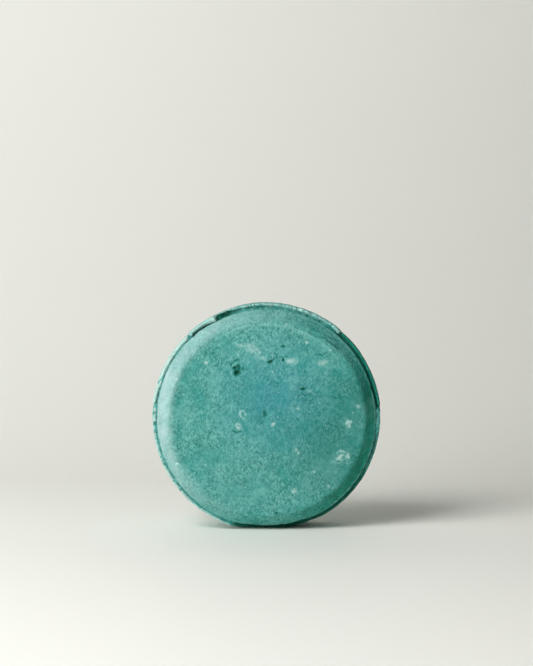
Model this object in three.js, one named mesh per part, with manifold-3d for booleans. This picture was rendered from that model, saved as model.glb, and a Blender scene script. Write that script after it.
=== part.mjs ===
// Shaving soap puck: one pressed disc of soap, with bevelled faces, that stands on its edge.
// The thin flash that the press leaves around the front disc is broken into separate strips,
// and the face holds pale undissolved flakes and a dark crumb, each loose in its own pocket.
//
// Frame: millimetres, +Z up. The puck's axis runs along Y: the marked front face looks toward -Y
// and the plain back face toward +Y. The origin is the middle of the box's bottom, on the flat
// foot that the puck stands on.
import * as THREE from "three";
import { mergeVertices } from "three/addons/utils/BufferGeometryUtils.js";
import Module from "manifold-3d";

const wasm = await Module();
wasm.setup();

// ---- Driving dimensions ----
const RIM_RADIUS = 32.5; // barrel of the puck
const THICKNESS = 24; // face to face
const FACE_RADIUS = 27; // flat middle of each face
const DISC_RADIUS = 31.25; // sharp edge where the front bevel ends
const BEVEL_DEPTH = 2.7; // from a face back to the outer end of its bevel
const DISC_WALL = 2.0; // straight wall of the front disc, down to the rim's shoulder
const BACK_EDGE = 0.6; // small step that softens the barrel into the back bevel
const FOOT_DEPTH = 0.5; // how far the foot is worn into the barrel
const GAP = 0.3; // clearance around every loose piece
const FLASH_OUTER = 32.4; // outside of the flash, just inside the barrel
const ROUND_STEPS = 120; // facets around the puck

// Places that follow from them.
const FRONT = -THICKNESS / 2;
const BACK = THICKNESS / 2;
const AXIS_HEIGHT = RIM_RADIUS - FOOT_DEPTH;
const DISC_EDGE = FRONT + BEVEL_DEPTH;
const SHOULDER = DISC_EDGE + DISC_WALL;

// ---- Materials ----
const soap = new THREE.MeshStandardMaterial({ color: 0x5aa497, roughness: 0.62, metalness: 0 });
const flashSoap = new THREE.MeshStandardMaterial({ color: 0x86c2b6, roughness: 0.7, metalness: 0 });
const paleFlake = new THREE.MeshStandardMaterial({ color: 0xb4d8cf, roughness: 0.75, metalness: 0 });
const darkCrumb = new THREE.MeshStandardMaterial({ color: 0x1d5348, roughness: 0.8, metalness: 0 });

// ---- Helpers ----
// A closed geometry as a manifold solid, with its shared corners merged.
function toSolid(geometry) {
  const bare = geometry.clone();
  bare.deleteAttribute("normal");
  bare.deleteAttribute("uv");
  const merged = mergeVertices(bare, 1e-4);
  return new wasm.Manifold(
    new wasm.Mesh({
      numProp: 3,
      vertProperties: new Float32Array(merged.attributes.position.array),
      triVerts: new Uint32Array(merged.index.array),
    }),
  );
}

// The result of a boolean as a geometry again.
function toGeometry(solid) {
  const { vertProperties, triVerts } = solid.getMesh();
  const geometry = new THREE.BufferGeometry();
  geometry.setAttribute("position", new THREE.BufferAttribute(vertProperties, 3));
  geometry.setIndex(new THREE.BufferAttribute(triVerts, 1));
  geometry.computeVertexNormals();
  return geometry;
}

function namedMesh(name, geometry, material) {
  const mesh = new THREE.Mesh(geometry, material);
  mesh.name = name;
  return mesh;
}

// ---- Flakes: pale grains pressed flat into the face ----
// x and z are measured from the puck's axis, turn is the long side's tilt in degrees.
const FLAKES = [
  { name: "flake_top", x: 11.3, z: 21.7, width: 1.5, height: 1.1, turn: -35 },
  { name: "flake_upper_middle", x: 6.6, z: 16.5, width: 3.0, height: 2.1, turn: 8 },
  { name: "flake_upper_right", x: 15.9, z: 16.0, width: 3.0, height: 1.8, turn: -12 },
  { name: "flake_upper_left", x: -17.1, z: 16.1, width: 1.3, height: 1.1, turn: 0 },
  { name: "flake_centre", x: 9.1, z: 2.8, width: 1.2, height: 1.0, turn: 20 },
  { name: "flake_low_centre", x: 2.0, z: -1.5, width: 1.6, height: 1.3, turn: 0 },
  { name: "flake_centre_left", x: -8.1, z: -2.4, width: 2.0, height: 1.8, turn: -30 },
  { name: "flake_right", x: 23.3, z: -1.4, width: 1.9, height: 1.6, turn: 60 },
  { name: "flake_lower_middle", x: 8.9, z: -9.6, width: 1.9, height: 1.1, turn: -52 },
  { name: "flake_lower_right", x: 21.2, z: -10.7, width: 3.6, height: 3.2, turn: -40 },
  { name: "flake_low_right", x: 13.6, z: -15.0, width: 1.3, height: 1.0, turn: -45 },
  { name: "flake_bottom", x: 7.9, z: -20.6, width: 2.2, height: 1.5, turn: 25 },
];
const FLAKE_SINK = 0.05; // flat front of a flake, below the face
const FLAKE_STEPS = 16;

// A flake is a flat front on a round back: a quarter ellipse turned about the puck's direction.
// grow widens it on every side, for the pocket that it sits in.
function flakeGeometry({ x, z, width, height, turn }, grow = 0) {
  const across = width / 2 + grow;
  const up = height / 2 + grow;
  const depth = height / 2 + grow;
  const front = FRONT + FLAKE_SINK - grow;
  const profile = [new THREE.Vector2(0, 0)];
  for (let i = 0; i <= 4; i++) {
    const angle = (i / 4) * (Math.PI / 2);
    profile.push(new THREE.Vector2(i === 4 ? 0 : Math.cos(angle), Math.sin(angle)));
  }
  return new THREE.LatheGeometry(profile, FLAKE_STEPS)
    .scale(across, depth, up)
    .rotateY(THREE.MathUtils.degToRad(-turn))
    .translate(x, front, z);
}

// ---- The dark pit and its crumb ----
const PIT = { x: -8.2, z: 14.0, radius: 1.6, depth: 1.5 };
const CRUMB_RADIUS = 0.55;

function pitGeometry() {
  return new THREE.SphereGeometry(1, 16, 10)
    .scale(PIT.radius, PIT.depth, PIT.radius)
    .translate(PIT.x, FRONT, PIT.z);
}

// ---- Soap body ----
function bodyGeometry() {
  const outline = [
    [0, FRONT],
    [FACE_RADIUS, FRONT],
    [DISC_RADIUS, DISC_EDGE],
    [DISC_RADIUS, SHOULDER],
    [RIM_RADIUS, SHOULDER],
    [RIM_RADIUS, BACK - BEVEL_DEPTH - BACK_EDGE],
    [RIM_RADIUS - BACK_EDGE, BACK - BEVEL_DEPTH],
    [FACE_RADIUS, BACK],
    [0, BACK],
  ].map(([radius, along]) => new THREE.Vector2(radius, along));
  const turned = new THREE.LatheGeometry(outline, ROUND_STEPS);

  // The foot is the slice of barrel below the origin's plane.
  const slice = new THREE.BoxGeometry(RIM_RADIUS * 2, THICKNESS * 2, RIM_RADIUS).translate(
    0,
    0,
    -AXIS_HEIGHT - RIM_RADIUS / 2,
  );
  let solid = toSolid(turned).subtract(toSolid(slice)).subtract(toSolid(pitGeometry()));
  for (const flake of FLAKES) solid = solid.subtract(toSolid(flakeGeometry(flake, GAP)));
  return toGeometry(solid);
}

// ---- Flash: thin strips of soap around the front disc ----
// from and to are degrees clockwise from the top, seen from the front. inner is the strip's
// inside radius, height is how far it stands forward of the rim's shoulder, and point is the
// length in degrees over which each end narrows to the outside.
const FLASH = [
  { name: "flash_top", from: -25, to: 40, inner: 31.55, height: 1.9, point: 3 },
  { name: "flash_right", from: 41.5, to: 84, inner: 31.75, height: 2.0, point: 2 },
  { name: "flash_right_bridge", from: 85, to: 99, inner: 31.6, height: 1.8, point: 3 },
  { name: "flash_lower_right", from: 101, to: 153, inner: 31.8, height: 1.1, point: 4 },
  { name: "flash_lower_left", from: 198, to: 267, inner: 31.75, height: 1.4, point: 4 },
  { name: "flash_left_bridge", from: 268, to: 276, inner: 31.55, height: 1.9, point: 1 },
  { name: "flash_left", from: 277, to: 316, inner: 31.75, height: 1.7, point: 2 },
  { name: "flash_upper_left_flap", from: 317, to: 334, inner: 31.6, height: 2.1, point: 7 },
];
const FLASH_STEP = 3; // degrees between the points of a strip's outline

// A strip's outline seen from the front: along the outside, then back along the inside.
function flashGeometry({ from, to, inner, height, point }) {
  const place = (radius, degrees) => {
    const angle = THREE.MathUtils.degToRad(degrees);
    return new THREE.Vector2(radius * Math.sin(angle), radius * Math.cos(angle));
  };
  const steps = Math.ceil((to - from) / FLASH_STEP);
  const angles = Array.from({ length: steps + 1 }, (_, i) => from + ((to - from) * i) / steps);
  const outside = angles.map((angle) => place(FLASH_OUTER, angle));
  const inside = angles.slice(1, -1).map((angle) => {
    const toEnd = Math.min(angle - from, to - angle) / point;
    const radius = THREE.MathUtils.lerp(FLASH_OUTER, inner, Math.min(1, toEnd));
    return place(radius, angle);
  });
  const outline = new THREE.Shape([...outside, ...inside.reverse()]);
  return new THREE.ExtrudeGeometry(outline, { depth: height, bevelEnabled: false, steps: 1 })
    .rotateX(Math.PI / 2)
    .translate(0, SHOULDER - GAP, 0);
}

// ---- Assembly ----
const puck = new THREE.Group();
puck.position.z = AXIS_HEIGHT;

puck.add(namedMesh("soap_body", bodyGeometry(), soap));

const flashRing = new THREE.Group();
for (const strip of FLASH) flashRing.add(namedMesh(strip.name, flashGeometry(strip), flashSoap));
puck.add(flashRing);

const inclusions = new THREE.Group();
for (const flake of FLAKES) inclusions.add(namedMesh(flake.name, flakeGeometry(flake), paleFlake));
const crumb = namedMesh("pit_crumb", new THREE.IcosahedronGeometry(CRUMB_RADIUS, 1), darkCrumb);
crumb.position.set(PIT.x, FRONT + FLAKE_SINK + CRUMB_RADIUS, PIT.z);
inclusions.add(crumb);
puck.add(inclusions);

const part = new THREE.Group();
part.add(puck);

export default part;
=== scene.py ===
import math
from types import SimpleNamespace

import bmesh
import bpy
import numpy as np
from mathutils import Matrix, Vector


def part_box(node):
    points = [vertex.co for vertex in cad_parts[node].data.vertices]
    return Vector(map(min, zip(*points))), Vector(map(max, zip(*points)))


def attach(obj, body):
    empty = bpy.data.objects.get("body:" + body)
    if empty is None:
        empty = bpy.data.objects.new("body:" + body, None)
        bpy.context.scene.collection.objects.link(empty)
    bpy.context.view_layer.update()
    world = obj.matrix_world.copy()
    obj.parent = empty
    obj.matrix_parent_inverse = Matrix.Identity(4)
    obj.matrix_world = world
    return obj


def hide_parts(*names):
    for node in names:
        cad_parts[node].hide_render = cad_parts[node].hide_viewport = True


# Looks of the pressed soap puck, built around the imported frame. Everything is in metres.
# The puck's axis runs along Y, its marked face looks toward -Y, and it stands on its edge.
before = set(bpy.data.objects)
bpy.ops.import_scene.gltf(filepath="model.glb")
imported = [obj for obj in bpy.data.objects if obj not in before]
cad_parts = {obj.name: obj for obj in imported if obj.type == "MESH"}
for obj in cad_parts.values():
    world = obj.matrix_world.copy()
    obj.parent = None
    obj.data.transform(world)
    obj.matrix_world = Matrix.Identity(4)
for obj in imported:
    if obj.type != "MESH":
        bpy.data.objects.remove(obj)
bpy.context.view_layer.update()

# ---- Sizes, all from the frame ----
BODY_LOW, BODY_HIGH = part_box("soap_body")
RADIUS = (BODY_HIGH[0] - BODY_LOW[0]) / 2  # barrel
FRONT, BACK = BODY_LOW[1], BODY_HIGH[1]
AXIS_HEIGHT = BODY_HIGH[2] - RADIUS
UNIT = RADIUS / 32.5  # one of the drawing's millimetres

FACE_RADIUS = 27.0 * UNIT
DISC_RADIUS = 31.25 * UNIT
BEVEL_DEPTH = 2.7 * UNIT
DISC_WALL = 2.0 * UNIT
DISC_EDGE = FRONT + BEVEL_DEPTH
SHOULDER = DISC_EDGE + DISC_WALL


# ---- Noise ----
NOISE_SHIFT = 1000.0  # added to each point, in cells, so that no cell has a negative number


def smooth_noise(points, cell, seed):
    """Gradient noise, about -1 to 1, with bumps about `cell` metres across."""
    random = np.random.default_rng(seed)
    gradients = random.normal(size=(256, 3))
    gradients /= np.linalg.norm(gradients, axis=1, keepdims=True)
    shuffle = random.permutation(256)
    scaled = np.asarray(points) / cell + NOISE_SHIFT
    corner = np.floor(scaled).astype(np.int64)
    inside = scaled - corner
    fade = inside ** 3 * (inside * (inside * 6 - 15) + 10)
    total = np.zeros(len(scaled))
    for step in np.ndindex(2, 2, 2):
        x, y, z = ((corner + step) & 255).T
        slope = gradients[shuffle[(shuffle[(shuffle[x] + y) & 255] + z) & 255]]
        weight = np.prod(np.where(step, fade, 1 - fade), axis=1)
        total += weight * np.sum(slope * (inside - step), axis=1)
    return total * 1.6


def layered_noise(points, cell, seed, layers=3, fall=0.5):
    """Several layers of noise, each twice as fine as the last."""
    total, reach = 0.0, 0.0
    for layer in range(layers):
        total = total + fall ** layer * smooth_noise(points, cell / 2 ** layer, seed + layer)
        reach += fall ** layer
    return total / reach


def noise_vectors(points, cell, seed):
    """Three noises side by side, to move points every way."""
    return np.stack([layered_noise(points, cell, seed + axis, 2) for axis in range(3)], 1)


def ramp(value, low, high):
    """0 below low, 1 above high, smooth between."""
    t = np.clip((value - low) / (high - low), 0, 1)
    return t * t * (3 - 2 * t)


# ---- Marks on the face ----
# Marks are listed in units of MARK_UNIT from a point MARK_RISE above the puck's axis, x to the
# right and z up, seen from the front. Their angles run anticlockwise from the right.
MARK_UNIT = 0.975 * UNIT
MARK_RISE = 1.04 * UNIT
# Each pit is painted dark inside, as painted shade.
SMALL_PITS = [  # x, z, half width, half height, turn, depth, darkness
    (-8.5, 12.2, 1.1, 0.7, 5, 0.3, 1.0), (-9.4, 13.8, 0.6, 0.45, 40, 0.25, 0.9),
    (-8.1, 14.4, 0.7, 0.35, -15, 0.25, 0.8), (-7.0, 13.5, 0.6, 0.5, 40, 0.2, 0.75),
    (-5.9, 13.3, 0.8, 0.28, 15, 0.12, 0.5),
    (1.3, 15.6, 0.75, 0.42, 12, 0.45, 1.3), (4.9, 16.1, 0.4, 0.5, 0, 0.5, 1.3),
    (4.8, 20.0, 0.75, 0.4, 15, 0.25, 0.7), (10.8, 7.6, 0.85, 0.5, 0, 0.35, 0.8),
    (13.0, 7.9, 0.3, 0.22, 0, 0.2, 0.5), (2.9, -28.7, 0.42, 0.35, 0, 0.35, 0.8),
    (7.6, -23.4, 0.38, 0.36, 0, 0.4, 0.8), (-0.7, 0.8, 0.3, 0.5, 20, 0.3, 0.6),
    (6.6, -28.0, 0.3, 0.25, 0, 0.25, 0.6), (-9.0, -9.5, 0.3, 0.2, 0, 0.15, 0.4),
    (20.5, 19.6, 0.3, 0.25, 0, 0.2, 0.5), (-11.4, 12.6, 0.3, 0.25, 0, 0.2, 0.4),
    (19.9, 5.0, 0.35, 0.3, 40, 0.15, 0.4), (-15.8, -21.4, 0.4, 0.25, 30, 0.15, 0.4),
    (0.9, -25.6, 0.3, 0.3, 0, 0.2, 0.5), (-21.5, 6.4, 0.35, 0.2, 60, 0.12, 0.4),
    (9.8, -8.0, 0.3, 0.25, 0, 0.15, 0.4), (8.4, 2.6, 0.35, 0.25, 0, 0.15, 0.35),
]
PALE_MARKS = [  # x, z, half width, half height, turn in degrees, strength
    (-6.6, 12.0, 0.9, 0.5, 40, 0.5), (-8.7, 13.2, 0.5, 0.22, 10, 0.6), (-7.6, 10.8, 1.3, 0.4, 10, 0.3),
    (-7.4, 20.2, 1.8, 1.2, -5, 0.5), (-4.8, 20.0, 2.3, 1.3, -5, 0.6), (-4.2, 18.8, 2.8, 1.8, -35, 0.42),
    (-2.4, 18.8, 2.3, 0.55, -44, 0.62), (-2.0, 17.0, 2.0, 0.45, -48, 0.5),
    (-0.9, 16.6, 1.3, 0.9, -30, 0.58),
    (-8.2, 17.6, 2.4, 0.7, 80, 0.35), (-5.4, 15.6, 1.9, 0.6, 75, 0.35), (-13.0, 12.2, 2.0, 0.8, 60, 0.3),
    (-6.4, 16.4, 2.6, 0.7, 70, 0.35), (-9.4, 20.8, 1.6, 0.9, -10, 0.3),
    (-2.9, 16.6, 1.8, 0.5, -40, 0.4), (-0.4, 19.2, 1.4, 0.5, -35, 0.4),
    (6.9, 15.8, 1.6, 1.0, 5, 0.72), (8.0, 15.4, 2.2, 1.5, 15, 0.42),
    (16.5, 15.2, 2.0, 1.2, 12, 0.62), (20.2, 13.9, 1.1, 0.8, 0, 0.3),
    (-8.3, -3.3, 1.5, 1.6, 0, 0.5), (-6.6, -1.1, 0.55, 0.5, 0, 0.6), (2.0, -2.6, 0.9, 0.8, 0, 0.7),
    (23.9, -2.5, 1.0, 1.5, 12, 0.75), (26.6, 2.6, 0.8, 0.7, 0, 0.7),
    (22.2, -12.4, 2.5, 2.0, -30, 0.4), (21.1, -12.6, 1.2, 0.8, 15, 0.75),
    (23.5, -12.1, 0.9, 0.7, 10, 0.75), (21.7, -10.4, 0.6, 0.4, -20, 0.6),
    (23.5, -14.0, 0.7, 0.6, 0, 0.5), (8.1, -22.2, 1.3, 0.9, 25, 0.7),
    (11.6, 21.2, 0.7, 0.45, -35, 0.9), (18.6, 18.8, 0.45, 0.45, 0, 0.9),
    (9.1, -10.9, 0.8, 0.4, -52, 0.5), (13.9, -16.6, 0.5, 0.45, -45, 0.9),
    (18.1, -20.8, 0.6, 0.5, 0, 0.8), (-17.5, 15.3, 0.75, 0.6, -20, 1.0),
    (-26.1, 10.4, 0.6, 0.5, 0, 0.8), (-26.1, -14.2, 0.6, 0.5, 0, 0.9),
    (9.3, 1.8, 0.45, 0.42, 0, 0.95), (8.6, -10.0, 0.45, 0.42, 0, 0.9),
    (-14.0, -16.0, 1.8, 0.8, 15, 0.35), (-2.0, -22.0, 2.5, 0.9, 5, 0.3),
    (12.4, 7.0, 1.3, 0.6, -15, 0.45), (-18.5, 8.6, 0.8, 0.6, 0, 0.35),
    (-3.2, -8.0, 0.9, 0.6, 30, 0.35), (3.5, -14.6, 1.2, 0.5, -30, 0.3),
    (-10.2, -19.5, 0.9, 0.5, 0, 0.4), (-22.6, -2.0, 0.5, 1.0, 10, 0.3),
    (7.4, 10.4, 1.0, 0.6, 30, 0.3), (14.6, -22.0, 1.0, 0.4, 30, 0.35),
]
ARCS = [  # x, z, radius, line width, from, to, paint, strength
    (-7.0, 0.35, 0.85, 0.28, 120, 280, "pale", 1.0),
    (-7.0, 0.35, 0.9, 0.24, -40, 200, "pale", 0.85), (-8.3, -3.6, 1.25, 0.22, 60, 190, "pale", 0.7),
    (-8.4, -3.7, 1.45, 0.24, 190, 330, "dark", 0.7), (-8.5, 13.2, 1.9, 0.2, 175, 240, "pale", 0.7),
    (-8.3, 13.4, 1.95, 0.2, 80, 165, "pale", 0.7), (21.9, -12.2, 1.9, 0.35, -30, 160, "pale", 0.7),
    (22.3, -12.6, 1.0, 0.35, 60, 300, "pale", 0.9), (21.4, -12.2, 2.2, 0.3, 190, 290, "pale", 0.5),
    (22.0, -12.2, 1.45, 0.25, 200, 330, "dark", 0.5), (-0.9, 0.9, 0.9, 0.22, 250, 360, "dark", 0.6),
    (16.8, 19.4, 2.2, 0.2, 200, 330, "dark", 0.6), (16.8, 19.8, 2.3, 0.2, 215, 320, "pale", 0.4),
    (24.1, -2.6, 0.8, 0.3, 0, 200, "pale", 0.8), (5.0, -4.6, 1.3, 0.2, 30, 140, "dark", 0.25),
]
SCRATCHES = [  # corners of each line, half width, depth, darkness
    ([(-10.3, 14.5), (-9.5, 15.5), (-8.3, 16.1)], 0.22, 0.2, 0.7),
    ([(1.6, 16.0), (3.0, 16.9), (5.0, 16.9), (6.4, 17.3)], 0.2, 0.14, 0.4),
    ([(9.4, 5.6), (10.2, 6.0), (11.2, 5.7), (12.4, 6.1), (13.4, 5.7)], 0.2, 0.18, 0.22),
    ([(7.6, 4.9), (8.8, 4.4), (10.4, 4.8), (12.0, 4.2), (13.8, 4.6)], 0.18, 0.14, 0.12),
    ([(14.2, 17.6), (16.0, 17.4), (17.6, 18.4)], 0.16, 0.15, 0.5),
    ([(11.8, 24.2), (14.6, 22.9), (17.0, 22.5), (19.4, 20.6), (21.0, 19.6)], 0.28, 0.14, 0.1),
    ([(13.2, 25.0), (16.4, 24.1), (18.8, 22.3), (20.6, 21.8)], 0.25, 0.1, 0.07),
    ([(-29.8, -0.7), (-27.0, -0.9)], 0.2, 0.05, 0.1), ([(-29.6, -1.6), (-27.4, -1.7)], 0.2, 0.05, 0.1),
    ([(-0.2, 1.4), (-0.3, 0.2), (-0.9, -0.6)], 0.16, 0.12, 0.4),
    ([(-20.6, -3.0), (-19.6, -6.5), (-19.8, -11.0)], 0.9, 0.07, 0.1),
    ([(19.6, 9.0), (22.8, 3.0), (24.4, -1.0)], 0.5, 0.05, 0.06),
]
# Broad lighter and deeper clouds, in millimetres from the axis. Many are painted light and shade:
# lighter at the left of the face and on the upper right bevel, deeper on the right and lower right of
# the face and on the right bevel.
TONES = [  # x, z, reach, lightness
    (-21, 3, 8, -0.08), (-18.5, -7, 4.5, 0.18), (4, 3, 12, -0.08), (-12, 3, 7, 0.25),
    (21.5, 19, 5.5, 0.4), (28.5, 7, 4, -0.35),
    (0, -22, 11, 0.05), (-1, 22, 8, 0.35), (-3, -10, 8, 0.2), (16, -3, 8, -0.15),
    (16, -13, 9, -0.3), (-12, -20, 7, 0.15), (24, -10, 13, -0.18), (27, 8, 10, -0.33),
]
MAIN_PIT = (-8.25, 13.05, 1.05, 0.6)  # x, z, radius, depth
ARC_FADE = 25  # degrees over which each end of an arc fades in


def mark_distance(skin, mark, seed, raggedness=0.45, cell=0.9):
    """How far each point lies from a mark's centre, 1 on its ragged outline."""
    cx, cz, half_width, half_height, turn = mark
    angle = math.radians(turn)
    dx, dz = skin.x - cx * MARK_UNIT, skin.z - MARK_RISE - cz * MARK_UNIT
    along = (dx * math.cos(angle) + dz * math.sin(angle)) / (half_width * UNIT)
    across = (dz * math.cos(angle) - dx * math.sin(angle)) / (half_height * UNIT)
    ragged = 1 + raggedness * skin.noise(cell, seed, 2)
    return np.hypot(along, across) * ragged


def path_distance(skin, path):
    """Distance of each point from a line through the path's corners."""
    x, z = skin.x, skin.z - MARK_RISE
    nearest = np.full(len(x), np.inf)
    corners = np.array(path) * MARK_UNIT
    for (ax, az), (bx, bz) in zip(corners, corners[1:]):
        length2 = (bx - ax) ** 2 + (bz - az) ** 2
        t = np.clip(((x - ax) * (bx - ax) + (z - az) * (bz - az)) / length2, 0, 1)
        away = np.hypot(x - ax - t * (bx - ax), z - az - t * (bz - az))
        nearest = np.minimum(nearest, away)
    return nearest


def arc_cover(skin, arc, wobble, patchy):
    """How strongly each point lies on a short, uneven curved stroke, 0 to 1."""
    cx, cz, radius, width, start, end = arc
    dx, dz = skin.x / MARK_UNIT - cx, (skin.z - MARK_RISE) / MARK_UNIT - cz
    turned = (np.degrees(np.arctan2(dz, dx)) - start) % 360
    inside = ramp(turned, 0, ARC_FADE) * (1 - ramp(turned, end - start - ARC_FADE, end - start))
    away = np.hypot(dx, dz) * (1 + 0.28 * wobble) - radius
    return inside * np.exp(-(away / width) ** 2) * ramp(patchy, -0.9, 0.0)


# ---- Outline of the body ----
def rounded_outline(corners, spacing):
    """Points along straight stretches between corners (radius, y, rounding, spacing after)."""
    points = []
    last = len(corners) - 1
    for index, (radius, along, rounding, step) in enumerate(corners):
        here = np.array([radius, along])
        if 0 < index < last and rounding:
            before = np.array(corners[index - 1][:2]) - here
            after = np.array(corners[index + 1][:2]) - here
            start = here + before / np.linalg.norm(before) * rounding
            end = here + after / np.linalg.norm(after) * rounding
            bends = max(2, int(round(rounding / spacing * 2)))
            for t in np.linspace(0, 1, bends + 1):
                points.append((1 - t) ** 2 * start + 2 * t * (1 - t) * here + t ** 2 * end)
        else:
            points.append(here)
        if index < last:
            following = np.array(corners[index + 1][:2])
            rounding_after = corners[index + 1][2] if index + 1 < last else 0
            gap = following - here
            length = np.linalg.norm(gap)
            start, end = rounding, length - rounding_after
            count = max(1, int(round((end - start) / step)))
            for t in np.linspace(start, end, count + 1)[1:-1]:
                points.append(here + gap / length * t)
    return np.array(points)


def disc_grid(count):
    """A count by count grid of quads bent into a unit disc whose outline is evenly spaced."""
    line = np.linspace(-1, 1, count + 1)
    u, v = (a.ravel() for a in np.meshgrid(line, line, indexing="ij"))
    wide = np.abs(u) > np.abs(v)
    safe_u, safe_v = np.where(u == 0, 1, u), np.where(v == 0, 1, v)
    radius = np.where(wide, u, v)
    angle = np.where(wide, math.pi / 4 * v / safe_u, math.pi / 2 - math.pi / 4 * u / safe_v)
    points = np.stack([radius * np.cos(angle), radius * np.sin(angle)], axis=1)
    corner = np.arange(count * (count + 1)).reshape(count, count + 1)[:, :-1].ravel()
    quads = np.stack([corner, corner + count + 1, corner + count + 2, corner + 1], axis=1)
    edge = np.where(np.maximum(np.abs(u), np.abs(v)) > 1 - 1e-9)[0]
    edge = edge[np.argsort(np.arctan2(points[edge, 1], points[edge, 0]))]
    return points, quads, edge


FACE_GRID = 150  # quads along each side of the grid that covers a face
CROWN = 0.35 * UNIT  # how far the face's edge lies behind its middle
TUCK = 0.008  # share of the radius that the disc is smaller by, along the top
WORN = 0.015  # share of the radius that is worn off the disc where the puck rests
BODY_CORNERS = [  # radius, place along the axis, rounding, spacing of the points after it
    (FACE_RADIUS, FRONT, 0, 0.25 * UNIT),
    (28.1 * UNIT, FRONT, 0.85 * UNIT, 0.25 * UNIT),
    (DISC_RADIUS, DISC_EDGE, 0.16 * UNIT, 0.33 * UNIT),
    (DISC_RADIUS - 0.1 * UNIT, SHOULDER, 0.15 * UNIT, 0.22 * UNIT),
    (RADIUS - 0.1 * UNIT, SHOULDER, 0.2 * UNIT, 0.45 * UNIT),
    (RADIUS, SHOULDER + 1.2 * UNIT, 0.4 * UNIT, 0.85 * UNIT),
    (RADIUS, BACK - 3.4 * UNIT, 0.6 * UNIT, 0.5 * UNIT),
    (RADIUS - 0.5 * UNIT, BACK - 2.7 * UNIT, 0.3 * UNIT, 0.65 * UNIT),
    (27.5 * UNIT, BACK - 0.1 * UNIT, 0.5 * UNIT, 0.5 * UNIT),
    (FACE_RADIUS, BACK, 0, 0.3 * UNIT),
]

# How much of the groove behind the disc is filled with soap. Angles are degrees clockwise
# from the top, seen from the front; below zero the groove is worn deeper.
GROOVE_FILL = [
    (0, 0.7), (38, 0.65), (41, 0.4), (84, 0.35), (86.5, 0.95), (97, 0.9), (101, 0.6),
    (117, 0.55), (121, 0.45), (150, 0.35), (157, -0.9), (188, -0.8), (198, 0.7), (264, 0.85),
    (268, 0.98), (275, 0.98), (277, 0.75), (286, 0.78), (288, 0.97), (291, 0.93), (315, 0.88),
    (318.5, 0.6), (332, 0.55), (338, 0.35), (343, 0.5), (349, 0.7), (360, 0.7),
]

# How strongly a sheen is painted on the bevel, at the same angles: painted light, strongest at the left,
# which faces the lamps.
SHEEN_ALONG_BEVEL = [
    (0, 0.25), (20, 0.05), (40, 0.0), (195, 0.0), (215, 0.25), (232, 0.6), (255, 0.95), (275, 1.15),
    (290, 1.05), (310, 0.8), (333, 0.65), (350, 0.35), (360, 0.25),
]


def body_grid():
    """Vertices, outward directions and quads of the plain body, before any mark."""
    disc, quads, edge = disc_grid(FACE_GRID)
    outline = rounded_outline(BODY_CORNERS, 0.15 * UNIT)
    angles = np.arctan2(disc[edge, 1], disc[edge, 0])
    around = len(edge)
    slope = np.gradient(outline, axis=0)
    slope /= np.linalg.norm(slope, axis=1, keepdims=True)

    u, v = disc.T * FACE_RADIUS
    points = [np.stack([u, np.full(len(disc), FRONT), v], 1)]
    normals = [np.tile([0.0, -1.0, 0.0], (len(disc), 1))]
    faces = [quads]
    ring = edge
    start = len(disc)
    flat = np.stack([np.cos(angles), np.zeros(around), np.sin(angles)], 1)
    for (radius, along), (dr, dy) in zip(outline[1:-1], slope[1:-1]):
        points.append(flat * radius + np.array([0, along, 0]))
        normals.append(flat * dy + np.array([0, -dr, 0]))
        following = start + np.arange(around)
        faces.append(np.stack([ring, following, np.roll(following, -1), np.roll(ring, -1)], 1))
        ring, start = following, start + around
    back = np.arange(len(disc)) + start
    points.append(np.stack([u, np.full(len(disc), BACK), v], 1))
    normals.append(np.tile([0.0, 1.0, 0.0], (len(disc), 1)))
    following = back[edge]
    faces.append(np.stack([ring, following, np.roll(following, -1), np.roll(ring, -1)], 1))
    faces.append(quads[:, ::-1] + start)
    return np.concatenate(points), np.concatenate(normals), np.concatenate(faces)


def clock_angle(x, z):
    """Degrees clockwise from the top, seen from the front, 0 to 360."""
    return np.degrees(np.arctan2(x, z)) % 360


class Skin:
    """The plain body's surface, with the height and the paints that work on it leaves."""

    def __init__(self, points, normals):
        self.points, self.normals = points, normals
        self.x, self.y, self.z = points.T
        self.around = np.hypot(self.x, self.z)
        self.clock = clock_angle(self.x, self.z)
        self.on_front = 1 - ramp(self.y, DISC_EDGE + 0.2 * UNIT, DISC_EDGE + 0.8 * UNIT)
        self.on_barrel = ramp(self.around, RADIUS - 0.5 * UNIT, RADIUS - 0.1 * UNIT)
        self.height, self.pale, self.dark, self.tone, self.shade, self.painted_sheen = (
            np.zeros(len(points)) for _ in range(6))

    def noise(self, cell, seed, layers=1, fall=0.5):
        """Noise over the surface, its bumps about cell of the drawing's millimetres across."""
        return layered_noise(self.points, cell * UNIT, seed, layers, fall)

    def near_radius(self, radius, reach):
        """1 at the given distance from the puck's axis, fading over reach, on the front only."""
        return np.exp(-((self.around - radius) / reach) ** 2) * self.on_front

    def whiten(self, cover):
        self.pale = np.maximum(self.pale, cover)

    def darken(self, cover):
        self.dark = np.maximum(self.dark, cover)


def add_grain(skin):
    """Pressed soap is uneven all over, has a few creases, and is coarser on the barrel."""
    skin.height += 0.10 * UNIT * skin.noise(9, 11, 2)
    skin.height += 0.05 * UNIT * skin.noise(2.6, 21, 3, 0.6)
    skin.height += 0.035 * UNIT * skin.noise(1.3, 31, 2, 0.7)
    wander = np.abs(smooth_noise(skin.points + 0.4 * UNIT * skin.normals, 3.1 * UNIT, 35))
    creases = (1 - ramp(wander, 0, 0.12)) * ramp(skin.noise(6, 36), 0, 0.4)
    skin.height -= 0.05 * UNIT * creases
    stretched = layered_noise(skin.points * [1, 0.35, 1], 1.6 * UNIT, 37, 3, 0.7)
    skin.height += 0.10 * UNIT * skin.on_barrel * stretched
    skin.whiten(0.28 * ramp(skin.noise(2.2, 51), 0.45, 0.9))


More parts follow.
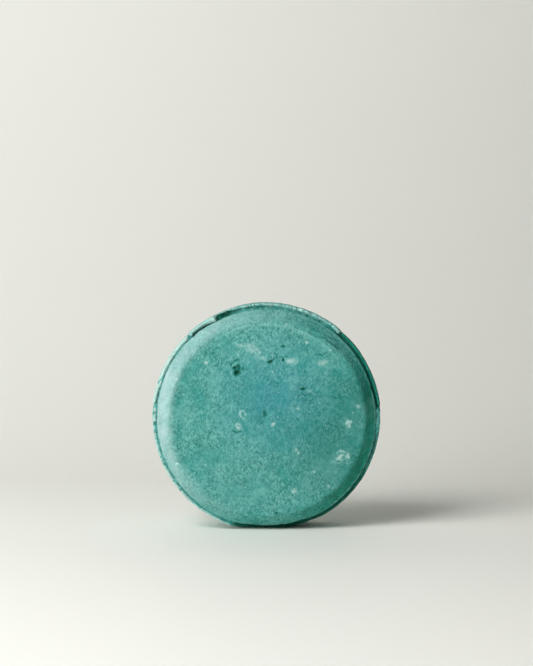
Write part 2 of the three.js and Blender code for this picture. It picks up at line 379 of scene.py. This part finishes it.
def add_back_wear_and_pock_shade(skin):
    """Pocks and chalk on the barrel and back, painted shade in the pocks, and nicks along the back edge.
    """
    behind = ramp(skin.y, SHOULDER, SHOULDER + 2 * UNIT)
    pocks = behind * ramp(skin.noise(1.6, 141), 0.62, 0.85)
    skin.height -= 0.3 * UNIT * pocks
    # Painted shade in the pocks.
    skin.darken(0.5 * pocks)
    back_edge = np.exp(-((skin.y - BACK + 3.0 * UNIT) / (0.7 * UNIT)) ** 2) * skin.on_barrel
    skin.height -= 0.4 * UNIT * back_edge * ramp(skin.noise(2.2, 142, 3), 0.15, 0.55)
    skin.whiten(0.55 * behind * ramp(skin.noise(2.8, 143), 0.5, 0.8))


def add_pits_and_chalk(skin):
    """The small pits and pale marks of the lists."""
    for number, (*mark, depth, shade) in enumerate(SMALL_PITS):
        hole = skin.on_front * (1 - ramp(mark_distance(skin, mark, 40 + number), 0.3, 1.3))
        skin.height -= depth * UNIT * hole
        # Painted shade inside each pit.
        skin.darken(np.clip(0.75 * shade * hole, 0, 1))
    for number, (*mark, strength) in enumerate(PALE_MARKS):
        reach = mark_distance(skin, mark, 60 + number, 0.8, 0.8)
        cover = skin.on_front * (1 - ramp(reach, 0.2, 1.35))
        skin.whiten(strength * cover)
        skin.height += 0.05 * UNIT * strength * cover


def add_curls_and_scratches(skin):
    """The curved strokes and scratches of the lists."""
    wobble = skin.noise(1.7, 121)
    patchy = skin.noise(0.8, 122)
    for *arc, kind, strength in ARCS:
        cover = skin.on_front * strength * arc_cover(skin, arc, wobble, patchy)
        if kind == "pale":
            skin.whiten(cover)
            skin.height += 0.12 * UNIT * cover
        else:
            skin.darken(cover)
            skin.height -= 0.18 * UNIT * cover
    wander = 1 + 0.5 * skin.noise(1.1, 120)
    for path, width, depth, shade in SCRATCHES:
        away = path_distance(skin, path) / (width * UNIT)
        cover = skin.on_front * np.exp(-(away * wander) ** 2)
        skin.height -= depth * UNIT * cover
        skin.darken(shade * cover)


def add_main_pit(skin):
    """The largest pit: rubble roughens its floor, and it is painted dark inside as painted shade,
    darkest toward its lower end.
    """
    px, pz, radius, depth = MAIN_PIT
    reach = mark_distance(skin, (px, pz, radius * 0.95, radius * 1.15, -15), 93, 0.7, 1.0)
    hole = skin.on_front * (1 - ramp(reach, 0.35, 1.25))
    rubble = skin.noise(0.85, 91, 2, 0.8)
    lower = np.exp(-((skin.z - MARK_RISE) / MARK_UNIT - pz + 0.9) ** 2)
    skin.height -= depth * UNIT * hole * (1 + 0.4 * rubble)
    # Painted shade in the pit.
    skin.darken(hole * np.clip(0.2 + 1.4 * rubble + 0.8 * lower, 0, 1))


def add_face_crease(skin):
    """Along the top, the edge between face and bevel is a faint raised crease."""
    along_top = (1 - ramp(skin.clock, 35, 55)) + ramp(skin.clock, 318, 335)
    radius = (26.7 + 0.35 * skin.noise(4, 95)) * UNIT
    crease = skin.near_radius(radius, 0.3 * UNIT) * along_top
    skin.height += 0.09 * UNIT * crease
    skin.whiten(0.36 * crease)


def add_disc_edge(skin):
    """A thin burr stands along the disc's edge at the right, and small nicks run all round it.

    Returns the burr.
    """
    along_right = ramp(skin.clock, 15, 45) * (1 - ramp(skin.clock, 140, 155))
    burr = skin.near_radius(31.05 * UNIT, 0.24 * UNIT) * along_right
    burr *= 0.8 + 0.5 * skin.noise(1.5, 97)
    skin.height += 0.1 * UNIT * burr
    edge = skin.near_radius(DISC_RADIUS, 0.35 * UNIT)
    skin.height -= 0.18 * UNIT * edge * ramp(skin.noise(1.8, 98, 2), 0.1, 0.6)
    return burr


def add_tones(skin, burr):
    """Broad clouds, many of them painted light and shade, painted shade on the bevel at the right and a
    painted sheen on the bevel at the left.
    """
    for tx, tz, reach, lightness in TONES:
        away = np.hypot(skin.x / UNIT - tx, skin.z / UNIT - tz) / reach
        skin.tone += lightness * np.exp(-away ** 2) * skin.on_front
    skin.tone += 0.9 * burr

    # Painted shade on the right of the bevel, which faces away from the lamps, less on the burr.
    on_bevel = ramp(skin.around, 26.5 * UNIT, 29.5 * UNIT) * skin.on_front
    at_right = np.exp(-((skin.clock - 115) / 50) ** 2)
    skin.shade = 0.9 * on_bevel * at_right * (1 - 0.8 * np.clip(burr, 0, 1))

    # Painted sheen: whitish light painted on the bevel, strongest at the left, which faces the lamps,
    # broken into streaks.
    skin.painted_sheen = ramp(skin.around, 25.8 * UNIT, 29.4 * UNIT) * skin.on_front
    skin.painted_sheen *= np.interp(skin.clock, *zip(*SHEEN_ALONG_BEVEL))
    streaks = layered_noise(skin.points * [1, 1, 0.6], 3 * UNIT, 130, 3)
    skin.painted_sheen *= np.clip(1 + 0.8 * streaks, 0, 1.5)


def fill_groove(skin, moved):
    """Moves soap into parts of the groove behind the disc. Returns where the groove is."""
    fill = np.interp(skin.clock, *zip(*GROOVE_FILL)) * DISC_WALL
    start = DISC_EDGE + 0.15 * UNIT
    groove = np.clip((skin.y - start) / (SHOULDER - start), 0, 1)
    groove *= 1 - ramp(skin.y, SHOULDER + 0.2 * UNIT, SHOULDER + 3.2 * UNIT)
    groove *= ramp(skin.around, DISC_RADIUS - 0.6 * UNIT, DISC_RADIUS - 0.3 * UNIT)
    blotches = skin.noise(1.3, 99, 3, 0.7)
    moved[:, 1] -= groove * fill * (1 + 0.35 * blotches)

    crumbly = groove * ramp(fill, 0.4 * DISC_WALL, 0.7 * DISC_WALL)
    near_top = 1 - ramp(skin.clock, 40, 60) + ramp(skin.clock, 325, 340)
    skin.whiten(0.7 * near_top * crumbly * ramp(blotches, 0.25, 0.55))
    # Painted shade in the deeper spots of the fill, most along the top.
    skin.darken((0.15 + 0.45 * near_top) * crumbly * ramp(-blotches, 0.05, 0.35))
    # Painted shade where the groove stays deep.
    hollow = 1 - ramp(fill, 0.35 * DISC_WALL, 0.7 * DISC_WALL)
    skin.darken(0.6 * ramp(groove, 0.1, 0.5) * hollow)
    return groove


def draw_in(moved, share):
    """Moves each point toward the puck's axis by a share of its distance."""
    moved[:, 0] *= 1 - share
    moved[:, 2] *= 1 - share


def shape_disc(skin, moved):
    """The disc's edge is a little smaller along the top, and worn where the puck rests."""
    tucked = 1 - ramp(skin.clock, 70, 100) + ramp(skin.clock, 322, 336)
    tucked *= ramp(skin.around, DISC_RADIUS - 2.4 * UNIT, DISC_RADIUS - 0.1 * UNIT)
    tucked *= 1 - ramp(skin.y, SHOULDER - 0.5 * UNIT, SHOULDER + 0.1 * UNIT)
    tucked *= 1 - ramp(skin.around, DISC_RADIUS + 0.1 * UNIT, DISC_RADIUS + 0.4 * UNIT)
    draw_in(moved, TUCK * tucked)

    resting = ramp(skin.clock, 152, 163) * (1 - ramp(skin.clock, 186, 199))
    worn = resting * ramp(skin.around, DISC_RADIUS - 1.6 * UNIT, DISC_RADIUS - 0.1 * UNIT)
    worn *= 1 - ramp(skin.y, SHOULDER - 0.4 * UNIT, SHOULDER + 0.6 * UNIT)
    draw_in(moved, WORN * worn)
    return resting


def sculpt_body(points, normals):
    """Moves the plain body's points into worn, grainy soap. Returns them with the paint."""
    skin = Skin(points, normals)
    add_grain(skin)
    add_back_wear_and_pock_shade(skin)
    add_pits_and_chalk(skin)
    add_curls_and_scratches(skin)
    add_main_pit(skin)
    add_face_crease(skin)
    burr = add_disc_edge(skin)
    add_tones(skin, burr)
    moved = points + normals * skin.height[:, None]

    # The face is very slightly domed.
    domed = (skin.around / FACE_RADIUS) ** 2 * skin.on_front
    moved[:, 1] += CROWN * domed * (1 - ramp(skin.around, 28.5 * UNIT, DISC_RADIUS))

    groove = fill_groove(skin, moved)
    resting = shape_disc(skin, moved)
    # Painted shade in the groove along the bottom, where the puck rests on the floor.
    skin.darken(0.75 * resting * groove)

    moved[:, 2] = np.maximum(moved[:, 2] + AXIS_HEIGHT, 0)  # the foot is flat on the floor
    # cavity is high where the surface is sunk and low where it stands up; the shader paints shade into
    # the hollows and light onto raised places.
    cavity = 0.5 + 0.5 * np.clip(-skin.height / (0.12 * UNIT), -1, 1)
    paint = {"pale": skin.pale, "dark": skin.dark, "cavity": cavity, "tone": skin.tone,
             "painted_sheen": skin.painted_sheen, "shade": skin.shade}
    return moved, paint


def make_mesh(name, points, faces, paint=None):
    """A mesh object from arrays, with one value per point for each kind of paint."""
    mesh = bpy.data.meshes.new(name)
    mesh.from_pydata([tuple(p) for p in points], [], [tuple(int(i) for i in f) for f in faces])
    for kind, values in (paint or {}).items():
        layer = mesh.attributes.new(kind, "FLOAT", "POINT")
        layer.data.foreach_set("value", np.ascontiguousarray(values, dtype=np.float32))
    mesh.polygons.foreach_set("use_smooth", [True] * len(mesh.polygons))
    mesh.update()
    piece = bpy.data.objects.new(name, mesh)
    bpy.context.scene.collection.objects.link(piece)
    return piece


# ---- Materials ----
def srgb(red, green, blue):
    """A colour given as 0 to 255 in sRGB, as Blender's linear colour."""
    def linear(value):
        value /= 255
        return value / 12.92 if value <= 0.04045 else ((value + 0.055) / 1.055) ** 2.4
    return (linear(red), linear(green), linear(blue), 1.0)


class Nodes:
    """Small helper that adds and wires shader nodes."""

    def __init__(self, material):
        material.use_nodes = True
        self.tree = material.node_tree
        self.tree.nodes.clear()

    def add(self, kind, values=None, **settings):
        node = self.tree.nodes.new(kind)
        for key, value in settings.items():
            setattr(node, key, value)
        for socket, value in (values or {}).items():
            if isinstance(value, bpy.types.NodeSocket):
                self.tree.links.new(value, node.inputs[socket])
            else:
                node.inputs[socket].default_value = value
        return node

    def paint(self, name):
        """What a mesh's points hold under this name, or 0 where they hold nothing."""
        return self.add("ShaderNodeAttribute", attribute_name=name).outputs["Fac"]

    def noise(self, place, cell, detail=3.0, rough=0.55):
        values = {"Vector": place, "Scale": 1 / cell, "Detail": detail, "Roughness": rough}
        return self.add("ShaderNodeTexNoise", values).outputs["Fac"]

    def remap(self, value, low, high, to_low=0.0, to_high=1.0):
        values = {0: value, 1: low, 2: high, 3: to_low, 4: to_high}
        return self.add("ShaderNodeMapRange", values).outputs["Result"]

    def math(self, operation, a, b):
        return self.add("ShaderNodeMath", {0: a, 1: b}, operation=operation).outputs[0]

    def vector(self, operation, a, b, output="Vector"):
        return self.add("ShaderNodeVectorMath", {0: a, 1: b}, operation=operation).outputs[output]

    def line(self, value, at, half_width):
        """1 where the value is at the given level, fading to 0 at half_width from it."""
        away = self.math("ABSOLUTE", self.math("SUBTRACT", value, at), 0.0)
        return self.remap(away, 0.0, half_width, 1.0, 0.0)

    def channel(self, color, index):
        return self.add("ShaderNodeSeparateColor", {"Color": color}).outputs[index]

    def mix(self, factor, a, b, blend="MIX"):
        values = {"Factor": factor, 6: a, 7: b}  # 6 and 7 are the node's colours
        return self.add("ShaderNodeMix", values, data_type="RGBA", blend_type=blend).outputs[2]

    def patchwork(self, noise, color, deep, light):
        """Deepens the color where a noise is low and lightens it where it is high.

        deep and light are each (from, to, strength).
        """
        start, end, strength = deep
        color = self.mix(self.remap(noise, start, end, strength, 0.0), color, SOAP_DEEP)
        start, end, strength = light
        return self.mix(self.remap(noise, start, end, 0.0, strength), color, SOAP_LIGHT)


# The soap's colours. Where the soap is shaded, SOAP_SHADE multiplies what is there.
SOAP_MID = srgb(24, 137, 129)
SOAP_DEEP = srgb(0, 103, 92)
SOAP_LIGHT = srgb(124, 187, 181)
SOAP_BLUE = srgb(36, 134, 158)
SOAP_PALE = srgb(196, 217, 211)
# SOAP_SHEEN is the colour of the sheen painted on the bevel's lamp side.
SOAP_SHEEN = srgb(188, 206, 206)
SOAP_SHADE = (0.0, 0.9, 0.7, 1.0)
SOAP_DARK = srgb(0, 74, 60)

# How far from a point the dark crinkles' noise is read, so that they differ from the light ones.
SECOND_WANDER = Vector((0.03, 0.01, 0.02))


def soap_grain(n):
    """The noises that the soap's colour and bumps share."""
    place = n.add("ShaderNodeTexCoord").outputs["Object"]
    crumble_values = {"Vector": place, "Scale": 1 / (0.5 * UNIT), "Detail": 2.0}
    crumble = n.add("ShaderNodeTexNoise", crumble_values).outputs["Color"]
    bend = n.vector("MULTIPLY", crumble, Vector((0.4, 0.4, 0.4)) * UNIT)
    light_wander = n.noise(place, 1.7 * UNIT, 3, 0.6)
    dark_wander = n.noise(n.vector("ADD", place, SECOND_WANDER), 2.1 * UNIT, 3, 0.6)
    return SimpleNamespace(
        place=place,
        bent=n.vector("ADD", place, bend),
        clouds=n.noise(place, 8 * UNIT, 4, 0.6),
        grains=n.noise(place, 1.3 * UNIT, 4, 0.7),
        dust=n.noise(place, 0.42 * UNIT, 2, 0.7),
        patches=n.noise(place, 3 * UNIT, 3, 0.6),
        light_line=n.line(light_wander, 0.5, 0.022),
        dark_line=n.line(dark_wander, 0.5, 0.020),
    )


def mottled_color(n, grain, tone):
    """Teal soap with clouds, patches, grains, fibres and fine crinkles."""
    color = n.mix(n.remap(grain.clouds, 0.35, 0.65, 0.0, 0.25), SOAP_MID, SOAP_LIGHT)
    color = n.patchwork(grain.patches, color, (0.3, 0.48, 0.36), (0.48, 0.7, 0.4))
    color = n.mix(n.remap(tone, 0.0, 1.0), color, SOAP_LIGHT)
    smooth_color = color
    color = n.patchwork(grain.grains, color, (0.3, 0.5, 0.5), (0.5, 0.72, 0.52))
    color = n.patchwork(grain.dust, color, (0.28, 0.48, 0.5), (0.5, 0.75, 0.6))

    # Short fibres lying in three directions.
    for turn, cell in ((0.8, 1.0), (-0.75, 1.1), (0.3, 1.25)):
        laid = n.add("ShaderNodeMapping", {
            "Vector": grain.bent, "Rotation": (0.0, turn, 0.0), "Scale": (1.0, 1.5, 2.6)},
            vector_type="TEXTURE").outputs[0]
        fibre = n.noise(laid, 0.34 * cell * UNIT, 1, 0.5)
        color = n.patchwork(fibre, color, (0.32, 0.5, 0.46), (0.5, 0.7, 0.46))

    # Fine crinkles: thin curved lines where a wandering noise crosses its middle.
    light_crinkle = n.math("MULTIPLY", grain.light_line, n.remap(grain.grains, 0.4, 0.6, 0.1, 0.5))
    dark_crinkle = n.math("MULTIPLY", grain.dark_line, n.remap(grain.clouds, 0.35, 0.6, 0.1, 0.5))
    color = n.mix(light_crinkle, color, SOAP_LIGHT)
    color = n.mix(dark_crinkle, color, SOAP_DEEP)

    # Some patches are smoother than others.
    worn = n.noise(grain.place, 5 * UNIT, 2, 0.5)
    return n.mix(n.remap(worn, 0.35, 0.6, 0.45, 1.0), smooth_color, color)


def tinted_color(n, grain, tone, color):
    """Deeper tones, partly painted shade; painted shade on the bevel at the right; a bluish cloud;
    painted shade in the hollows and painted light on raised places.
    """
    color = n.mix(n.remap(tone, 0.0, -1.0), color, SOAP_DEEP)
    color = n.mix(n.paint("shade"), color, SOAP_SHADE, "MULTIPLY")

    # A faint bluish cloud near the middle of the front face.
    centre = Vector((1.5 * UNIT, FRONT, AXIS_HEIGHT + 6 * UNIT))
    away = n.vector("DISTANCE", grain.place, centre, "Value")
    strength = n.remap(away, 2 * UNIT, 21 * UNIT, 0.38, 0.0)
    tint = n.math("MULTIPLY", strength, n.remap(grain.clouds, 0.25, 0.6, 0.5, 1.0))
    color = n.mix(tint, color, SOAP_BLUE)

    # Painted shade in the hollows and painted light on raised places.
    cavity = n.paint("cavity")
    color = n.mix(n.remap(cavity, 0.6, 1.0, 0.0, 0.6), color, SOAP_DEEP)
    return n.mix(n.remap(cavity, 0.0, 0.4, 0.5, 0.0), color, SOAP_LIGHT)


def dusted_color(n, grain, chalk, color):
    """Chalk specks, the pale and dark paints broken up by the grain, and the painted sheen."""
    # Scattered specks, each of its own size, with crumbled outlines.
    for cell, least, widest in ((1.9, 0.55, 0.13), (4.3, 0.6, 0.12)):
        speck = n.add("ShaderNodeTexVoronoi", {"Vector": grain.bent, "Scale": 1 / (cell * UNIT)})
        size = n.remap(n.channel(speck.outputs["Color"], 0), least, 1.0, 0.0, widest)
        inside = n.math("SUBTRACT", size, speck.outputs["Distance"])
        color = n.mix(n.remap(inside, 0.0, 0.06, 0.0, 0.6), color, SOAP_PALE)

    pale = n.paint("pale")
    broken = n.math("ADD", n.math("MULTIPLY", pale, 1.65), n.remap(grain.dust, 0.3, 0.7, -0.65, 0.05))
    broken = n.math("ADD", broken, n.remap(grain.grains, 0.35, 0.65, -0.45, 0.0))
    color = n.mix(n.math("MULTIPLY", pale, 0.4), color, SOAP_LIGHT)
    color = n.mix(n.remap(broken, 0.0, 1.0, chalk, 0.7), color, SOAP_PALE)
    # Painted sheen on the bevel.
    color = n.mix(n.math("MULTIPLY", n.paint("painted_sheen"), 0.42), color, SOAP_SHEEN)

    # The dark paint holds dark marks and painted shade: in pits, in the groove, where the puck rests and
    # on the strips at the right.
    strong_dark_and_shade = n.math("MULTIPLY", n.paint("dark"), 1.5)
    dark = n.remap(n.math("ADD", strong_dark_and_shade, n.remap(grain.dust, 0.3, 0.7, -0.55, 0.1)), 0.0, 1.0)
    color = n.mix(n.remap(dark, 0.0, 0.5), color, SOAP_SHADE, "MULTIPLY")
    return n.mix(dark, color, SOAP_DARK)


def soap_bump(n, grain):
    """Powdery grain, crinkles and coarser grains, one bump on another."""
    fine = n.noise(grain.place, 0.3 * UNIT, 3, 0.65)
    crinkles = n.math("SUBTRACT", grain.light_line, grain.dark_line)
    bump = n.add("ShaderNodeBump", {"Strength": 0.7, "Distance": 0.07 * UNIT, "Height": fine})
    for strength, depth, height in ((0.5, 0.08, crinkles), (0.8, 0.16, grain.grains)):
        bump = n.add("ShaderNodeBump", {
            "Strength": strength, "Distance": depth * UNIT, "Height": height,
            "Normal": bump.outputs[0]})
    return bump.outputs[0]


def soap_material(name, chalk=0.0):
    """Dry pressed soap: mottled teal, with fine crinkles, chalky specks and a powdery grain."""
    material = bpy.data.materials.new(name)
    n = Nodes(material)
    grain = soap_grain(n)
    tone = n.paint("tone")
    color = mottled_color(n, grain, tone)
    color = tinted_color(n, grain, tone, color)
    color = dusted_color(n, grain, chalk, color)
    shader = n.add("ShaderNodeBsdfPrincipled", {
        "Base Color": color,
        "Roughness": n.remap(grain.grains, 0.3, 0.7, 0.36, 0.5),
        "Specular IOR Level": 0.22,
        "Subsurface Weight": 0.3,
        "Subsurface Radius": (0.3, 1.0, 0.9),
        "Subsurface Scale": 0.7 * UNIT,
        "Normal": soap_bump(n, grain),
    })
    n.add("ShaderNodeOutputMaterial", {"Surface": shader.outputs[0]})
    return material


# ---- Pieces ----
def finish_piece(piece, material, node):
    """Gives a piece its material and its body, and hides the node that it stands in for."""
    piece.data.materials.append(material)
    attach(piece, "root")
    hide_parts(node)


def build_body(material):
    """The pressed puck itself."""
    points, normals, faces = body_grid()
    points, paint = sculpt_body(points, normals)
    piece = make_mesh("puck_body", points, faces, paint)
    finish_piece(piece, material, "soap_body")


# ---- Flash: thin torn strips round the front disc ----
# Angles are degrees clockwise from the top, seen from the front. inside lists the strip's inner
# radius in millimetres along its length, and outside is its outer radius. height is how far it
# stands in front of the shoulder, ragged and crumble roughen it, pale and dark are its paint:
# the pale on the crests of the strips toward the lamps, at the top and left, is partly painted
# light, and the dark of the strips at the right is painted shade.
STRIPS = {
    "flash_top": dict(
        inside=[(-25.6, 32.4), (-19, 32.3), (-16, 31.95), (0, 31.9), (9, 31.8), (14, 31.6),
                (24, 31.65), (33, 31.75), (38, 31.7), (40.5, 31.2), (41.5, 32.2)],
        outside=32.8, height=1.95, ragged=0.4, crumble=0.12, pale=0.5),
    "flash_right": dict(
        inside=[(41, 32.1), (43, 31.8), (60, 31.75), (72, 31.7), (82, 31.75), (85, 31.9)],
        outside=32.6, height=1.5, ragged=0.3, crumble=0.1, pale=0.0, dark=0.5),
    "flash_right_bridge": dict(
        inside=[(84.5, 31.7), (86, 31.2), (91, 31.3), (97, 31.45), (100, 31.9)],
        outside=32.45, height=1.8, ragged=0.15, pale=0.0, dark=0.45),
    "flash_lower_right": dict(
        inside=[(100, 31.9), (118, 31.85), (140, 31.8), (154, 32.1)],
        outside=32.3, height=0.9, ragged=0.3, pale=0.0, dark=0.5),
    "flash_lower_left": dict(
        inside=[(197.5, 32.2), (206, 31.85), (214, 31.75), (240, 31.65), (262, 31.6), (267.5, 31.75)],
        outside=32.5, height=1.75, ragged=0.25, crumble=0.08, pale=0.75),
    "flash_left_bridge": dict(
        inside=[(267, 31.6), (268.5, 31.15), (274.5, 31.15), (276.5, 31.6)],
        outside=32.5, height=2.1, ragged=0.1, pale=0.7),
    "flash_left": dict(
        inside=[(276.5, 31.8), (280, 31.65), (285.5, 31.55), (286.5, 31.2), (289.5, 31.2), (291, 31.4),
                (300, 31.45), (312, 31.4), (315, 31.45), (317, 32.1)],
        outside=32.7, height=2.0, ragged=0.2, crumble=0.08, pale=0.9),
    "flash_upper_left_flap": dict(
        inside=[(316.5, 31.9), (318, 31.25), (319.2, 31.8), (325, 31.7), (329, 31.35),
                (331.3, 31.0), (332.6, 30.6), (333.0, 31.0), (333.8, 32.1)],
        outside=32.85, height=2.6, ragged=0.1, pale=0.7),
}
STRIP_SECTION = [  # from the inner root over the crest to the outer root: across, up
    (0.0, 0.0), (0.0, 0.3), (0.0, 0.6), (0.04, 0.8), (0.14, 0.93), (0.36, 1.0),
    (0.64, 1.0), (0.86, 0.93), (0.96, 0.8), (1.0, 0.6), (1.0, 0.3), (1.0, 0.0),
]
STRIP_STEP = 0.22  # degrees
STRIP_ROOT = 0.3 * UNIT  # how far a strip reaches into the shoulder
THINNEST = 0.12 * UNIT  # least width of a strip away from its ends


def build_strip(node, seed, material):
    """One torn strip of flash, closed at both ends."""
    shape = STRIPS[node]
    listed = np.array(shape["inside"])
    angles = np.arange(listed[0, 0], listed[-1, 0] + STRIP_STEP / 2, STRIP_STEP)
    inner = np.interp(angles, listed[:, 0], listed[:, 1]) * UNIT
    turned = np.radians(angles)
    flat = np.stack([np.sin(turned), np.zeros(len(turned)), np.cos(turned)], 1)

    outside = shape["outside"] * UNIT
    rim = flat * outside
    tear = layered_noise(rim, 1.6 * UNIT, seed, 4, 0.7)
    to_end = np.minimum(angles - angles[0], angles[-1] - angles)
    narrow = ramp(to_end, -0.4, 1.6)
    outer = outside + 0.13 * UNIT * layered_noise(rim, 3.0 * UNIT, seed + 5, 3, 0.6)
    inner = inner + 0.12 * UNIT * layered_noise(rim, 1.1 * UNIT, seed + 9, 3, 0.7)
    height = shape["height"] * UNIT * (1 + shape["ragged"] * tear) * (0.35 + 0.65 * narrow)
    middle = (inner + outer) / 2
    half = np.maximum(outer - inner, THINNEST) / 2 * (0.3 + 0.7 * narrow)

    points = []
    for across, up in STRIP_SECTION:
        radius = middle + (across * 2 - 1) * half
        along = SHOULDER + STRIP_ROOT - up * (height + STRIP_ROOT)
        points.append(flat * radius[:, None] + along[:, None] * [0, 1, 0])
    points = np.stack(points, 1)  # one row per angle
    loose = points.reshape(-1, 3)
    loose = loose + shape.get("crumble", 0.05) * UNIT * noise_vectors(loose, 0.5 * UNIT, seed + 20)
    count, size = len(angles), len(STRIP_SECTION)

    faces = []
    for row in range(count - 1):
        for k in range(size):
            following = (k + 1) % size
            faces.append((row * size + k, (row + 1) * size + k,
                          (row + 1) * size + following, row * size + following))
    faces.append(tuple(range(size)))
    faces.append(tuple((count - 1) * size + k for k in reversed(range(size))))
    loose[:, 2] += AXIS_HEIGHT
    # Each strip is painted deeper at its root and lighter at its crest, painted shade and painted light;
    # chips add pale.
    lift = np.tile([up for _, up in STRIP_SECTION], count)
    chips = ramp(layered_noise(loose, 1.2 * UNIT, seed + 30, 2), 0.15, 0.5)
    pale = lift ** 2 * np.maximum(shape["pale"], min(0.8, 1.6 * shape["pale"] + 0.2) * chips)
    paint = {"pale": pale, "dark": shape.get("dark", 0.0) * np.ones(len(loose)),
             "cavity": 0.75 - 0.5 * lift, "tone": 0.3 * lift}
    piece = make_mesh(node.replace("flash", "torn_flash"), loose, faces, paint)
    finish_piece(piece, material, node)


# ---- Flakes and crumb ----
FLAKE_PROUD = 0.09 * UNIT  # how far a flake's highest point stands in front of the face


def lump(center, size, seed, detail=3, rough=0.22):
    """Points and faces of a rough closed lump, as wide as size on each axis."""
    ball = bmesh.new()
    bmesh.ops.create_icosphere(ball, subdivisions=detail, radius=1)
    points = np.array([v.co for v in ball.verts])
    faces = [tuple(v.index for v in f.verts) for f in ball.faces]
    ball.free()
    points *= (1 + rough * layered_noise(points, 0.9, seed, 3))[:, None]
    return points * np.array(size) / 2 + np.array(center), faces


def build_flake(node, seed, material):
    """A chalky flake pressed almost level with the face, its ragged top just above it."""
    low, high = (np.array(corner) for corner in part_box(node))
    center = (low + high) / 2
    size = high - low
    away = math.hypot(center[0], center[2] - AXIS_HEIGHT) / FACE_RADIUS
    points, faces = lump((0, 0, 0), (1, 1, 1), seed, 4, 0.3)
    points *= size
    points += 0.05 * UNIT * noise_vectors(points, 0.5 * UNIT, seed)
    points += center
    points[:, 1] += FRONT + CROWN * away ** 2 - FLAKE_PROUD - points[:, 1].min()
    mottle = layered_noise(points, 0.9 * UNIT, seed + 5, 2)
    paint = {"pale": np.clip(0.5 + 1.1 * mottle, 0, 0.95),
             "dark": np.clip(-0.3 - 1.5 * mottle, 0, 0.5),
             "cavity": np.full(len(points), 0.5), "tone": np.full(len(points), 0.3)}
    piece = make_mesh(node.replace("flake", "chalky_flake"), points, faces, paint)
    finish_piece(piece, material, node)


def build_pit_crumb(material):
    """A dark crumb, loose in the main pit."""
    low, high = (np.array(corner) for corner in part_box("pit_crumb"))
    center = (low + high) / 2
    points, faces = lump(center, (high - low) * 0.8, 300, 3, 0.5)
    paint = {"pale": np.zeros(len(points)), "dark": np.full(len(points), 0.45),
             "cavity": np.full(len(points), 0.6), "tone": np.zeros(len(points))}
    piece = make_mesh("loose_pit_crumb", points, faces, paint)
    finish_piece(piece, material, "pit_crumb")


FLAKES = ["flake_top", "flake_upper_middle", "flake_upper_right", "flake_upper_left", "flake_centre",
          "flake_low_centre", "flake_centre_left", "flake_right", "flake_lower_middle",
          "flake_lower_right", "flake_low_right", "flake_bottom"]

soap = soap_material("soap")
flake_soap = soap_material("chalky_soap", 0.1)
build_body(soap)
for number, strip in enumerate(STRIPS):
    build_strip(strip, 200 + 40 * number, soap)
for number, flake in enumerate(FLAKES):
    build_flake(flake, 600 + 10 * number, flake_soap)
build_pit_crumb(flake_soap)


# ---- Studio ----
def build_floor():
    """A pale sweep: level floor that curves up behind the puck."""
    half_width, near, level, rise, top = 3.0, -3.0, 0.11, 0.30, 1.4
    profile = [(near, 0.0), (0.0, 0.0), (level, 0.0)]
    bends = 16
    for step in range(1, bends + 1):
        angle = step / bends * math.pi / 2
        profile.append((level + rise * math.sin(angle), rise * (1 - math.cos(angle))))
    profile.append((level + rise, top))
    points, faces = [], []
    for y, z in profile:
        points += [(-half_width, y, z), (half_width, y, z)]
    for i in range(len(profile) - 1):
        faces.append((2 * i, 2 * i + 1, 2 * i + 3, 2 * i + 2))
    floor = make_mesh("studio_sweep", points, faces)
    material = bpy.data.materials.new("studio_paper")
    n = Nodes(material)
    shader = n.add("ShaderNodeBsdfPrincipled", {
        "Base Color": srgb(243, 243, 236), "Roughness": 0.6, "Specular IOR Level": 0.3})
    n.add("ShaderNodeOutputMaterial", {"Surface": shader.outputs[0]})
    floor.data.materials.append(material)


def add_light(name, place, aim, size, power):
    data = bpy.data.lights.new(name, "AREA")
    data.shape = "RECTANGLE"
    data.size, data.size_y = size
    data.energy = power
    light = bpy.data.objects.new(name, data)
    light.location = place
    light.rotation_euler = (Vector(aim) - Vector(place)).to_track_quat("-Z", "Y").to_euler()
    bpy.context.scene.collection.objects.link(light)


# name, degrees round from the puck's left toward its front, degrees up, distance,
# width and height, power in watts
LIGHTS = [
    ("window_left", 40, 16, 0.7, (0.56, 0.26), 3.8),
    ("softbox_high", 50, 42, 0.7, (0.34, 0.34), 2.95),
    ("ceiling", 90, 70, 0.9, (0.8, 0.8), 0.35),
]
AIR_STRENGTH = 0.06


def build_studio():
    """The sweep, the lights round the puck and a faint even light from everywhere."""
    centre = Vector((0, 0, AXIS_HEIGHT))
    build_floor()
    for name, round_front, up, distance, size, power in LIGHTS:
        turned, raised = math.radians(round_front), math.radians(up)
        away = Vector((-math.cos(turned) * math.cos(raised),
                       -math.sin(turned) * math.cos(raised), math.sin(raised)))
        add_light(name, centre + away * distance, centre, size, power)
    world = bpy.data.worlds.new("studio_air")
    bpy.context.scene.world = world
    world.use_nodes = True
    air = world.node_tree.nodes["Background"].inputs
    air["Color"].default_value = (1, 1, 1, 1)
    air["Strength"].default_value = AIR_STRENGTH


def build_camera():
    """Stands a little above the puck's axis and aims over it, so the puck sits low in the view."""
    distance, elevation = 0.56, math.radians(5)
    aim_above = 23.8 * UNIT
    data = bpy.data.cameras.new("camera")
    data.lens = 104.4  # millimetres, as is the sensor
    data.sensor_width = 36
    data.clip_start, data.clip_end = 0.01, 20
    camera = bpy.data.objects.new("camera", data)
    camera.location = (0, -distance * math.cos(elevation), AXIS_HEIGHT + distance * math.sin(elevation))
    aim = Vector((0, 0, AXIS_HEIGHT + aim_above))
    camera.rotation_euler = (aim - camera.location).to_track_quat("-Z", "Y").to_euler()
    bpy.context.scene.collection.objects.link(camera)
    bpy.context.scene.camera = camera


build_camera()
build_studio()
bpy.context.scene.view_settings.view_transform = "Standard"
